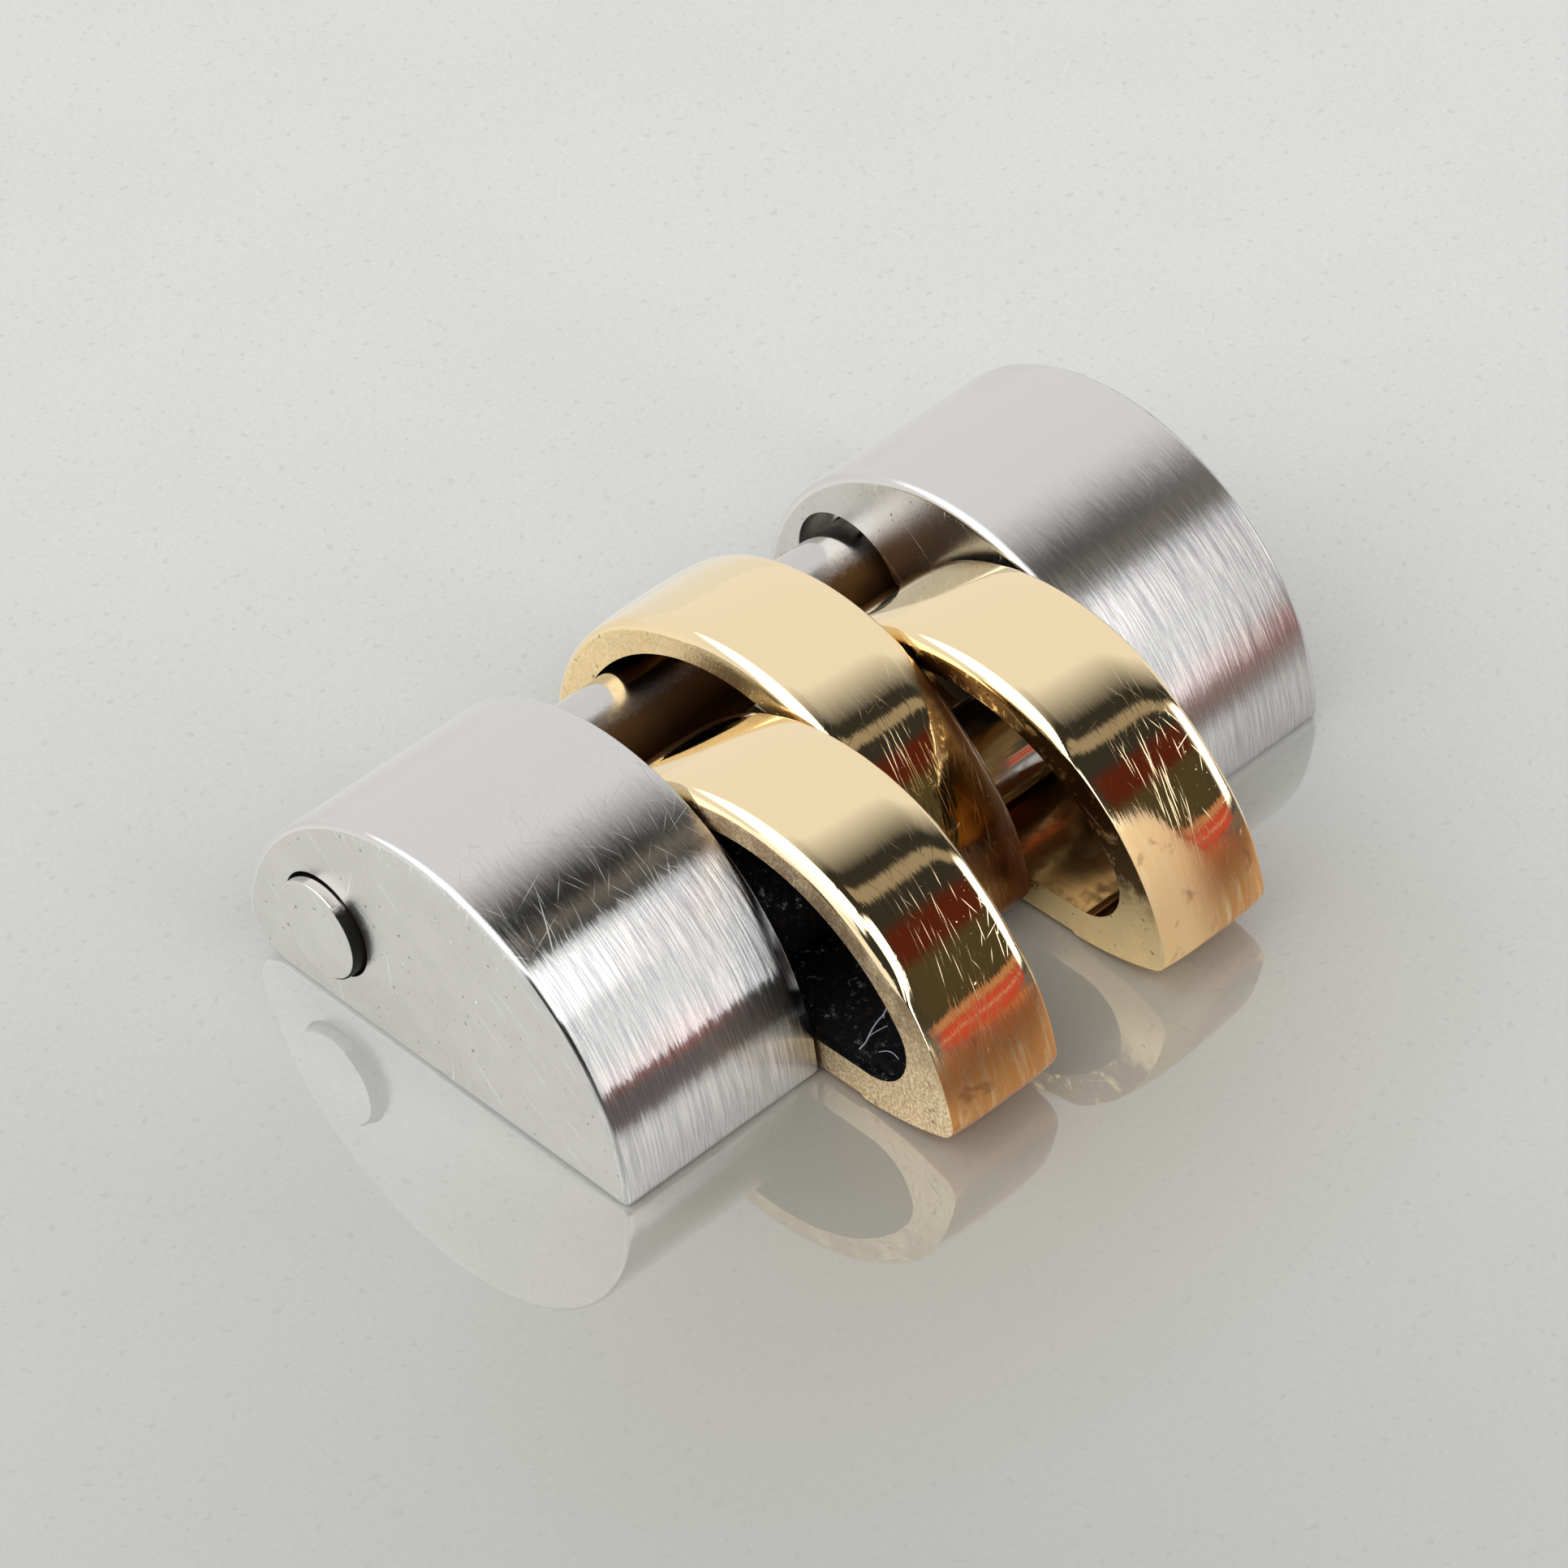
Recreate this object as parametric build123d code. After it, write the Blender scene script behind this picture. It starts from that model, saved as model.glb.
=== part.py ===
from build123d import *
import os
from math import cos, radians, sin, sqrt

# One removable link of a five-row watch bracelet, as it lies on a table.
# Millimetres. X runs along the pins, from the near outer link to the far one.
# -Y is the front, where the side links stick out, and +Z is up.
# The origin is on the flat underside, below the middle of the rigid row's half-moon shape.

# Widths along the pins
outer_link_width = 3.39
inner_link_width = 1.94
side_gap = 0.10

# The half-moon outline that all five links share
link_radius = 3.72
heel_radius = 0.70
side_link_heel_radius = 1.10
outer_toe_radius = 0.14
outer_edge_bevel = 0.07
inner_toe_radius = 0.30
inner_edge_radius = 0.14

# The underside of an inner link bends up towards the toe
nose_length = 1.82
nose_radius = 4.70

# The D-shaped hollow of the three inner links
crown_wall = 0.54
floor_wall = 0.52
hollow_corner_radius = 0.75

# Pins
pin_radius = 0.75
pin_height = 1.36
pin_seat_clearance = 0.04
pin_hole_clearance = 0.05
pin_stands_proud = 0.18
pin_tip_set_back = 0.20
pin_head_rounding = 0.08
pin_tip_chamfer = 0.22
fixed_pin_depth = 2.30
fixed_pin_chamfer = 0.12
blind_hole_spare = 0.15

# The split collar that grips the removable pin inside the far outer link
collar_radius = 1.00
collar_length = 1.10
collar_recess = 0.35
collar_slit = 0.16
collar_grip_clearance = 0.02

# How the two side links lie
near_side_link_gap = 0.22
far_side_link_gap = 0.08
side_link_tilt = 1.0
side_link_drift = 0.05

# Every cut runs past its piece by this much
overrun = 1.0

# Places worked out from the sizes above
hollow_radius = link_radius - crown_wall
pin_reach = hollow_radius - pin_radius - pin_seat_clearance
back_pin_y = sqrt(pin_reach**2 - pin_height**2)
front_pin_y = -back_pin_y
inner_pitch = inner_link_width + side_gap
outer_face_x = 1.5 * inner_link_width + 2 * side_gap
half_width = outer_face_x + outer_link_width


def half_moon(heel_radius, toe_radius, nose=False):
    """Outline of a link: the upper half of a disc, with its heel rounded and its toe broken."""
    half = Circle(link_radius) & Rectangle(2 * link_radius, link_radius, align=(Align.CENTER, Align.MIN))
    if nose:
        nose_start = nose_length - link_radius
        bend = Pos(nose_start, nose_radius) * Circle(nose_radius)
        flat = Pos(nose_start, 0) * Rectangle(2 * link_radius, link_radius, align=(Align.MIN, Align.MIN))
        half &= bend + flat
    heel = half.vertices().sort_by(Axis.X)[-1]
    half = fillet(heel, heel_radius)
    toe = half.vertices().sort_by(Axis.X)[0]
    return Plane.YZ * fillet(toe, toe_radius)


def hollow_outline():
    """The D-shaped hollow: a smaller half-moon standing on the floor wall, with round corners."""
    top = Pos(0, floor_wall) * Rectangle(2 * hollow_radius, hollow_radius, align=(Align.CENTER, Align.MIN))
    outline = Circle(hollow_radius) & top
    return Plane.YZ * fillet(outline.vertices(), hollow_corner_radius)


def slab(outline, width, break_edges, size):
    """A link's body, centred on X = 0. break_edges rounds or bevels the outer edges of both side faces."""
    body = extrude(outline, width / 2, both=True)
    side_faces = body.faces().sort_by(Axis.X)
    rims = side_faces[0].outer_wire().edges() + side_faces[-1].outer_wire().edges()
    return break_edges(rims, size)


def rod(radius, low_x, high_x, y, z):
    """A plain cylinder along X between two places."""
    middle = Pos((low_x + high_x) / 2, y, z)
    return middle * Rot(Y=90) * Cylinder(radius, high_x - low_x)


def outer_link(side):
    """A solid outer link. side is -1 for the near one, which the pin's head sits in, and 1 for the far one."""
    body = Pos(X=side * (half_width - outer_link_width / 2)) * slab(
        half_moon(heel_radius, outer_toe_radius), outer_link_width, chamfer, outer_edge_bevel
    )
    inner_face = side * outer_face_x
    outer_face = side * half_width
    past_inner = inner_face - side * overrun
    past_outer = outer_face + side * overrun
    low, high = sorted((past_inner, past_outer))
    body -= rod(pin_radius + pin_hole_clearance, low, high, back_pin_y, pin_height)
    blind_end = inner_face + side * (fixed_pin_depth + blind_hole_spare)
    low, high = sorted((past_inner, blind_end))
    body -= rod(pin_radius, low, high, front_pin_y, pin_height)
    if side > 0:
        collar_seat = inner_face + collar_recess + collar_length
        body -= rod(collar_radius, past_inner, collar_seat, back_pin_y, pin_height)
    return body


def inner_link(heel_radius):
    """One hollow inner link, centred on its own half-moon and lying flat."""
    outline = half_moon(heel_radius, inner_toe_radius, nose=True)
    body = slab(outline, inner_link_width, fillet, inner_edge_radius)
    return body - extrude(hollow_outline(), inner_link_width / 2 + overrun, both=True)


def side_link(side, gap):
    """An inner link pushed back to within a gap of the removable pin, its heel on the table and its toe up."""
    turn = radians(side_link_tilt)
    heel_y = sqrt((link_radius - side_link_heel_radius) ** 2 - side_link_heel_radius**2)
    lift = heel_y * sin(turn) + side_link_heel_radius * (1 - cos(turn))
    to_pin = link_radius + pin_radius + gap
    centre_y = back_pin_y - sqrt(to_pin**2 - (pin_height - lift) ** 2)
    place = Pos(side * inner_pitch - side_link_drift, centre_y, lift)
    return place * Rot(X=-side_link_tilt) * inner_link(side_link_heel_radius)


def removable_pin():
    """The friction pin of the next row: a rounded head, just proud of the near link, and a lead-in tip."""
    pin = rod(pin_radius, -half_width - pin_stands_proud, half_width - pin_tip_set_back, back_pin_y, pin_height)
    rims = pin.edges().filter_by(GeomType.CIRCLE).sort_by(Axis.X)
    pin = fillet(rims[0], pin_head_rounding)
    tip = pin.edges().filter_by(GeomType.CIRCLE).sort_by(Axis.X)[-1]
    return chamfer(tip, pin_tip_chamfer)


def fixed_pin():
    """The permanent pin, pressed into a blind hole of each outer link, on which the side links turn."""
    reach = outer_face_x + fixed_pin_depth
    pin = rod(pin_radius, -reach, reach, front_pin_y, pin_height)
    return chamfer(pin.edges().filter_by(GeomType.CIRCLE), fixed_pin_chamfer)


def pin_collar():
    """A short split tube in the counterbore of the far link's inner face."""
    near_end = outer_face_x + collar_recess
    far_end = near_end + collar_length
    ring = rod(collar_radius, near_end, far_end, back_pin_y, pin_height)
    ring -= rod(pin_radius + collar_grip_clearance, near_end - overrun, far_end + overrun, back_pin_y, pin_height)
    upwards = (Align.CENTER, Align.CENTER, Align.MIN)
    slit = Box(collar_length + 2 * overrun, collar_slit, collar_radius + overrun, align=upwards)
    return ring - Pos((near_end + far_end) / 2, back_pin_y, pin_height) * slit


nodes = {
    "outer_link_near": outer_link(-1),
    "outer_link_far": outer_link(1),
    "centre_link": inner_link(heel_radius),
    "side_link_near": side_link(-1, near_side_link_gap),
    "side_link_far": side_link(1, far_side_link_gap),
    "fixed_pin": fixed_pin(),
    "removable_pin": removable_pin(),
    "pin_collar": pin_collar(),
}

os.makedirs("parts", exist_ok=True)
for name, shape in nodes.items():
    export_step(shape, f"parts/{name}.step")
    print(name, "volume", round(shape.volume, 3), "valid", shape.is_valid)
print("pins are", round(2 * back_pin_y, 3), "apart; the row is", round(2 * half_width, 3), "wide")
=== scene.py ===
import bpy
from math import atan2, cos, degrees, pi, radians, sin, sqrt
from mathutils import Matrix, Vector


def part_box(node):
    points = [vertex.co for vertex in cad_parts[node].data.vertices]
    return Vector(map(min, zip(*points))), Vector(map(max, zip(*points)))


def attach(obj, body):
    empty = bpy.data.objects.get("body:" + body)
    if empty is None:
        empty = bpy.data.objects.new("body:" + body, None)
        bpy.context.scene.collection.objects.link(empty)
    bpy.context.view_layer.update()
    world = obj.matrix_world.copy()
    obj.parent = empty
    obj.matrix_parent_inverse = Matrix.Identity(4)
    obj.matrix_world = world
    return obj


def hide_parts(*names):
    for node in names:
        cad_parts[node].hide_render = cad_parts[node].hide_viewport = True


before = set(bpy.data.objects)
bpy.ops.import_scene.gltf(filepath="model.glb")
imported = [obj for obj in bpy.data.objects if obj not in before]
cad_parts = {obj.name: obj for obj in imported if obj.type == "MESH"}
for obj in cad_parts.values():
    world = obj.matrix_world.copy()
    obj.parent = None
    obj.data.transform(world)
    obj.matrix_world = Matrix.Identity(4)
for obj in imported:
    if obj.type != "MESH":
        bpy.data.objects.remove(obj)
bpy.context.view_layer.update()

# The camera looks down on the near end of the row from the front left, from a hand's breadth
# away through a long lens. Its place was worked out from the outlines of the links in the photo.
camera_azimuth = radians(-41.830)
camera_elevation = radians(42.044)
camera_roll = radians(3.408)
camera_distance = 0.08694
camera_target = Vector((0.000509, 0.000668, 0.0))
camera_lens_mm = 146.1
camera_sensor_mm = 36.0

backwards = Vector((
    sin(camera_azimuth) * cos(camera_elevation),
    -cos(camera_azimuth) * cos(camera_elevation),
    sin(camera_elevation),
))
level_right = (-backwards).cross(Vector((0, 0, 1))).normalized()
level_up = backwards.cross(level_right)
right = cos(camera_roll) * level_right - sin(camera_roll) * level_up
up = sin(camera_roll) * level_right + cos(camera_roll) * level_up
bpy.ops.object.camera_add(location=camera_target + camera_distance * backwards)
camera = bpy.context.object
camera.rotation_euler = Matrix((right, up, backwards)).transposed().to_euler()
camera.data.lens = camera_lens_mm
camera.data.sensor_width = camera_sensor_mm
camera.data.clip_start = 0.001
camera.data.clip_end = 10.0
bpy.context.scene.camera = camera
bpy.context.scene.view_settings.view_transform = "Standard"


class Wire:
    """One output of a shader node. Sums written with wires add the Math nodes that work them out."""

    def __init__(self, socket):
        self.socket = socket

    def math(self, operation, *others):
        tree = self.socket.id_data
        node = tree.nodes.new("ShaderNodeMath")
        node.operation = operation
        for entry, value in zip(node.inputs, others):
            feed(entry, value)
        return Wire(node.outputs[0])

    def __add__(self, other):
        return self.math("ADD", self, other)

    def __sub__(self, other):
        return self.math("SUBTRACT", self, other)

    def __rsub__(self, other):
        return self.math("SUBTRACT", other, self)

    def __mul__(self, other):
        return self.math("MULTIPLY", self, other)

    def __truediv__(self, other):
        return self.math("DIVIDE", self, other)

    __radd__ = __add__
    __rmul__ = __mul__

    def above(self, edge, softness):
        """0 well below the edge, 1 well above it, with a soft step between."""
        return self.ramp_between(edge - softness, edge + softness)

    def below(self, edge, softness):
        """The reverse of above."""
        return 1 - self.above(edge, softness)

    def within(self, low, high, softness):
        return self.above(low, softness) * self.below(high, softness)

    def ramp_between(self, low, high):
        tree = self.socket.id_data
        node = tree.nodes.new("ShaderNodeMapRange")
        node.interpolation_type = "SMOOTHSTEP"
        for name, value in (("Value", self), ("From Min", low), ("From Max", high)):
            feed(node.inputs[name], value)
        return Wire(node.outputs[0])


def feed(entry, value):
    """Links a wire to a node's input, or sets the input to a plain value."""
    if isinstance(value, Wire):
        entry.id_data.links.new(value.socket, entry)
    elif isinstance(value, tuple) and len(value) == 3 and entry.type == "RGBA":
        entry.default_value = (*value, 1.0)
    else:
        entry.default_value = value


class Recipe:
    """The node tree of a material or of the world, emptied and written anew."""

    def __init__(self, owner):
        owner.use_nodes = True
        self.tree = owner.node_tree
        self.tree.nodes.clear()

    def node(self, kind, settings, inputs, output=0):
        """Adds a node, with its settings first and then its inputs, and gives one of its outputs."""
        made = self.tree.nodes.new("ShaderNode" + kind)
        for name, value in settings.items():
            if name == "stops":
                ramp = made.color_ramp
                while len(ramp.elements) < len(value):
                    ramp.elements.new(1.0)
                for element, (position, colour) in zip(ramp.elements, value):
                    element.position = position
                    element.color = (*colour, 1.0)
            else:
                setattr(made, name, value)
        for name, value in inputs.items():
            feed(made.inputs[name], value)
        return Wire(made.outputs[output])

    def mix(self, share, one, other):
        """Blends two colours; share 0 gives the first."""
        made = self.tree.nodes.new("ShaderNodeMix")
        made.data_type = "RGBA"
        feed(made.inputs[0], share)
        feed(made.inputs[6], one)
        feed(made.inputs[7], other)
        return Wire(made.outputs[2])

    def noise(self, place, scale, detail=2.0, roughness=0.5, distortion=0.0):
        inputs = {"Vector": place, "Scale": scale, "Detail": detail, "Roughness": roughness}
        inputs["Distortion"] = distortion
        return self.node("TexNoise", {}, inputs)

    def split(self, vector):
        """The three numbers of a vector."""
        made = self.tree.nodes.new("ShaderNodeSeparateXYZ")
        feed(made.inputs[0], vector)
        return [Wire(number) for number in made.outputs]

    def join(self, x, y, z):
        """A vector of three numbers."""
        return self.node("CombineXYZ", {}, {"X": x, "Y": y, "Z": z})

    def finish(self, shader, kind="OutputMaterial"):
        """Gives the finished shader to the material's or the world's output."""
        made = self.tree.nodes.new("ShaderNode" + kind)
        feed(made.inputs["Surface"], shader)


# The table is a pale, glossy stone-like top, finely speckled, with painted shade that makes it a little
# darker towards the camera.
# A brownish patch of painted shadow and painted reflection of the gold lies on it in front of the row.
table_size = 1.2
far_tone = (0.62, 0.63, 0.61)
shaded_near_tone = (0.385, 0.39, 0.362)
painted_floor_shade_tone = (0.26, 0.20, 0.09)
bpy.ops.object.select_all(action="DESELECT")
bpy.ops.mesh.primitive_plane_add(size=table_size)
table = bpy.context.object
table.name = "table"
table_top = bpy.data.materials.new("table_top")
recipe = Recipe(table_top)
spot = recipe.node("TexCoord", {}, {}, output=3)
near_spot = (-0.0095, -0.0110, 0.0)
away = recipe.node("VectorMath", {"operation": "DISTANCE"}, {0: spot, 1: near_spot}, output=1)
mottle = recipe.noise(spot, 300.0, 3.0)
grain = recipe.noise(spot, 11000.0, 2.0, 0.7)
dots = recipe.noise(spot, 6000.0, 1.0)
# Painted shade: the top is darkened towards its near corner.
colour = recipe.mix(away.ramp_between(-0.004, 0.029), shaded_near_tone, far_tone)
# The brownish patch of painted shadow and reflection is an ellipse round a point in front of the row.
shade_place = {"Vector": spot, "Location": (0.0011, 0.006, 0.0), "Scale": (0.55, 1.0, 1.0)}
below = recipe.node("Mapping", {}, shade_place)
from_shade = recipe.node("VectorMath", {"operation": "LENGTH"}, {0: below}, output=1)
colour = recipe.mix(from_shade.below(0.0035, 0.0025) * 0.34, colour, painted_floor_shade_tone)
colour = recipe.mix(mottle.ramp_between(0.3, 0.7) * 0.04, colour, (0.3, 0.3, 0.28))
colour = recipe.mix(grain.ramp_between(0.3, 0.7) * 0.10, colour, (0.25, 0.25, 0.23))
colour = recipe.mix(dots.ramp_between(0.66, 0.72) * 0.22, colour, (0.30, 0.29, 0.27))
seen = recipe.node("LightPath", {}, {}, output=0)
colour = recipe.mix(seen, (0.74, 0.74, 0.71), colour)
gloss = {"Base Color": colour, "Roughness": 0.30 - seen * 0.30, "IOR": 2.1}
polish = recipe.node("BsdfPrincipled", {}, gloss)

# In the links' reflections the table ends a finger's breadth in front, at the dim end of the room.
# A red and an orange card stand there.
mirrored = recipe.node("LightPath", {}, {}, output=3)
sideways, backward = recipe.split(spot)[:2]
front = backward * -1
card = recipe.mix(front.ramp_between(0.055, 0.075), (0.55, 0.23, 0.10), (0.55, 0.08, 0.04))
on_card = (sideways / front).within(0.38, 0.70, 0.05) * front.ramp_between(0.014, 0.020)
dim = recipe.mix(on_card, (0.18, 0.155, 0.15), card)
room = recipe.node("Emission", {}, {"Color": dim, "Strength": 1.0})
far_side = mirrored * front.ramp_between(0.006, 0.0115)
recipe.finish(recipe.node("MixShader", {}, {0: far_side, 1: polish, 2: room}))
table.data.materials.append(table_top)

# The studio is a bright tent. What the polished links mirror is set out by the angle round the row:
# 0 is straight up and 90 the horizon in front. A dark gap lies between the two, with a pale slit in it.
# Soft boxes shine in at both ends of the row. The table, the one sharp mirror, shows the plain tent.
studio = bpy.data.worlds.new("studio")
bpy.context.scene.world = studio
recipe = Recipe(studio)
heading = recipe.node("TexCoord", {}, {}, output=0)
along, depth, height = recipe.split(heading)
round_row = height.math("ARCTAN2", depth * -1, height) * degrees(1.0)
bent = round_row - along.above(0.64, 0.06) * 6.0 + along.below(0.33, 0.04) * 3.0
tent = (0.93, 0.93, 0.94)
gap = (0.035, 0.035, 0.03)
slit = (0.36, 0.31, 0.24)
haze = (0.15, 0.16, 0.16)


def stop(angle, colour):
    """A colour of the bands, at its angle round the row."""
    return ((angle + 180.0) / 360.0, colour)


bands = recipe.node(
    "ValToRGB",
    {
        "stops": [
            stop(-180.0, tent),
            stop(-14.0, tent),
            stop(-2.0, (0.45, 0.44, 0.43)),
            stop(8.0, gap),
            stop(78.0, gap),
            stop(86.0, haze),
        ]
    },
    {"Fac": (bent + 180.0) / 360.0},
)
right_box = along.above(0.71, 0.02) * along.below(0.985, 0.01) * round_row.within(26.0, 84.0, 3.0)
front_box = along.within(-0.02, 0.20, 0.02) * round_row.above(30.0, 4.0) * round_row.below(84.0, 0.8)
left_box = along.within(-0.92, -0.28, 0.03) * round_row.within(-66.0, 27.0, 2.0)
left_foot = along.within(-0.62, 0.02, 0.03) * round_row.within(27.0, 52.0, 2.0)
left_edge = along.within(-0.985, -0.86, 0.01) * round_row.within(-90.0, 10.0, 4.0)
bright_slit = along.within(0.20, 0.80, 0.03) * bent.within(16.0, 23.0, 1.5)
maroon = along.within(0.27, 0.68, 0.04) * round_row.within(36.0, 52.0, 4.0)
olive = along.within(0.27, 0.68, 0.06) * round_row.within(50.0, 76.0, 3.0)
ember = along.within(0.30, 0.70, 0.05) * round_row.within(81.0, 91.0, 0.7)
glow = along.within(0.28, 0.72, 0.05) * round_row.within(77.0, 81.0, 1.0)
streak = along.within(0.28, 0.72, 0.05) * round_row.within(84.8, 85.8, 0.4)
dusk = along.within(0.73, 0.95, 0.03) * round_row.within(79.0, 91.0, 1.5)
sky = recipe.mix(bright_slit, bands, slit)
sky = recipe.mix(olive, sky, (0.075, 0.062, 0.032))
sky = recipe.mix(maroon, sky, (0.095, 0.018, 0.010))
sky = recipe.mix(glow, sky, (0.52, 0.26, 0.14))
sky = recipe.mix(ember, sky, (0.56, 0.085, 0.05))
sky = recipe.mix(streak, sky, (0.60, 0.36, 0.28))
sky = recipe.mix(dusk, sky, (0.07, 0.08, 0.10))
sky = recipe.mix(right_box, sky, (2.4, 2.4, 2.45))
sky = recipe.mix(front_box, sky, (4.2, 4.22, 4.25))
sky = recipe.mix(left_box + left_foot, sky, (2.2, 2.2, 2.2))
sky = recipe.mix(left_edge, sky, (1.8, 1.8, 1.8))
sharp = recipe.node("LightPath", {}, {}, output=4)
sky = recipe.mix(sharp, sky, tent)
seen = recipe.node("LightPath", {}, {}, output=0)
sky = recipe.mix(seen, sky, (0.72, 0.73, 0.72))
recipe.finish(recipe.node("Background", {}, {"Color": sky, "Strength": 1.0}), "OutputWorld")


# The two outer links are solid half-moons of steel, milled from bar: the dome is brushed round its curve,
# the ends are satin and their edges narrowly rounded. The removable pin's hole runs from end to end, and the
# fixed pin's holes are blind.
mm = 1000.0
link_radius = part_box("outer_link_near")[1].z * mm
heel_radius = 0.70
steel_toe_radius = 0.14
outer_rounding = 0.09
inner_roundings = {"near": 0.03, "far": 0.12}
rounding_rows = 4
heel_cuts = 14
toe_cuts = 10
dome_facets = 240
pin_radius = (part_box("removable_pin")[1].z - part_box("removable_pin")[0].z) * mm / 2
pin_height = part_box("removable_pin")[1].z * mm - pin_radius
back_pin_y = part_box("removable_pin")[1].y * mm - pin_radius
pin_hole_clearance = 0.05
hole_facets = 96
hair_breadth = 0.001
cut_threshold = 0.00001
smooth_up_to = radians(32)


def half_round(radius, low_x, high_x, floor=0.0):
    """Adds a round bar along X and cuts it level, which leaves a half-moon, in millimetres."""
    bpy.ops.object.select_all(action="DESELECT")
    bpy.ops.mesh.primitive_cylinder_add(
        vertices=dome_facets,
        radius=radius,
        depth=high_x - low_x,
        location=((low_x + high_x) / 2, 0, 0),
        rotation=(0, pi / 2, 0),
    )
    bpy.ops.object.transform_apply(location=True, rotation=True, scale=True)
    piece = bpy.context.object
    cut(piece, (0, 0, floor), (0, 0, -1))
    return piece


def cut(piece, place, outwards, keep_both=False):
    """Cuts the piece along a plane and, unless both sides are kept, closes it there."""
    bpy.context.view_layer.objects.active = piece
    bpy.ops.object.mode_set(mode="EDIT")
    bpy.ops.mesh.select_all(action="SELECT")
    bpy.ops.mesh.bisect(
        plane_co=place,
        plane_no=outwards,
        use_fill=not keep_both,
        clear_outer=not keep_both,
        threshold=cut_threshold,
    )
    bpy.ops.object.mode_set(mode="OBJECT")


def shave_corner(piece, y, z, radius, first, last, cuts):
    """Rounds a corner with straight cuts that all touch one circle. Angles are from +Y towards +Z."""
    for step in range(1, cuts):
        angle = first + (last - first) * step / cuts
        outwards = Vector((0, cos(angle), sin(angle)))
        cut(piece, Vector((0, y, z)) + radius * outwards, outwards)


def round_heel(piece, radius, floor, heel, cuts):
    """Rounds the back corner, where the dome of a half-moon meets its flat underside."""
    heel_y = sqrt((radius - heel) ** 2 - (floor + heel) ** 2)
    shave_corner(piece, heel_y, floor + heel, heel, -pi / 2, atan2(floor + heel, heel_y), cuts)


def round_heel_and_toe(piece, radius, floor, heel, toe):
    """Rounds both corners where the dome of a half-moon meets its flat underside."""
    round_heel(piece, radius, floor, heel, heel_cuts)
    toe_y = sqrt((radius - toe) ** 2 - (floor + toe) ** 2)
    toe_end = atan2(floor + toe, -toe_y) - 2 * pi
    shave_corner(piece, -toe_y, floor + toe, toe, -pi / 2, toe_end, toe_cuts)


def pick(piece, kind, test):
    """Selects the piece's corners, edges or faces that pass a test, and leaves it in edit mode."""
    bpy.ops.object.select_all(action="DESELECT")
    piece.select_set(True)
    bpy.context.view_layer.objects.active = piece
    bpy.ops.object.mode_set(mode="EDIT")
    bpy.ops.mesh.select_mode(type=kind)
    bpy.ops.mesh.select_all(action="DESELECT")
    bpy.ops.object.mode_set(mode="OBJECT")
    corners = piece.data.vertices
    if kind == "VERT":
        for corner in corners:
            corner.select = test(corner.co)
    else:
        for part in piece.data.edges if kind == "EDGE" else piece.data.polygons:
            part.select = test([corners[i].co for i in part.vertices], part)
    bpy.ops.object.mode_set(mode="EDIT")


def break_edge(piece, x, size, rows):
    """Breaks the edge all round one end face: rounded where it takes several rows of faces, else bevelled."""
    pick(piece, "EDGE", lambda ends, edge: all(abs(end.x - x) < hair_breadth for end in ends))
    bpy.ops.mesh.bevel(offset=size, offset_type="OFFSET", segments=rows, profile=0.5, affect="EDGES")
    bpy.ops.object.mode_set(mode="OBJECT")


def drill(piece, cutter):
    """Takes the cutter's shape out of the piece."""
    bpy.ops.object.select_all(action="DESELECT")
    piece.select_set(True)
    bpy.context.view_layer.objects.active = piece
    hole = piece.modifiers.new("hole", "BOOLEAN")
    hole.operation = "DIFFERENCE"
    hole.solver = "EXACT"
    hole.object = cutter
    bpy.ops.object.modifier_apply(modifier=hole.name)
    bpy.data.objects.remove(cutter)


def round_bar(radius, low_x, high_x, y, z):
    """Adds a plain bar along X, in millimetres."""
    bpy.ops.object.select_all(action="DESELECT")
    bpy.ops.mesh.primitive_cylinder_add(
        vertices=hole_facets,
        radius=radius,
        depth=high_x - low_x,
        location=((low_x + high_x) / 2, y, z),
        rotation=(0, pi / 2, 0),
    )
    bpy.ops.object.transform_apply(location=True, rotation=True, scale=True)
    return bpy.context.object


def settle(piece, name, body, slot, *nodes):
    """Brings a piece from millimetres to metres, smooths it and joins it to its body."""
    bpy.ops.object.select_all(action="DESELECT")
    piece.select_set(True)
    bpy.context.view_layer.objects.active = piece
    bpy.ops.object.transform_apply(location=True, rotation=True, scale=True)
    piece.scale = (1 / mm, 1 / mm, 1 / mm)
    bpy.ops.object.transform_apply(location=True, rotation=True, scale=True)
    bpy.ops.object.shade_smooth_by_angle(angle=smooth_up_to)
    even = piece.modifiers.new("even", "WEIGHTED_NORMAL")
    even.keep_sharp = True
    bpy.ops.object.modifier_apply(modifier=even.name)
    piece.name = name
    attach(piece, body)
    if nodes:
        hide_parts(*nodes)


def paint(piece, material, test):
    """Gives one material to the faces that pass a test."""
    piece.data.materials.append(material)
    pick(piece, "FACE", test)
    piece.active_material_index = len(piece.data.materials) - 1
    bpy.ops.object.material_slot_assign()
    bpy.ops.object.mode_set(mode="OBJECT")


def place(recipe):
    """Where a point lies, in millimetres."""
    return [number * mm for number in recipe.split(recipe.node("TexCoord", {}, {}, output=3))]


def way_round(y, z, centre_y=0.0, centre_z=0.0):
    """How far round a dome a point lies, in millimetres from the top towards the toe."""
    return z.math("ARCTAN2", centre_y - y, z - centre_z) * link_radius


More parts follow.
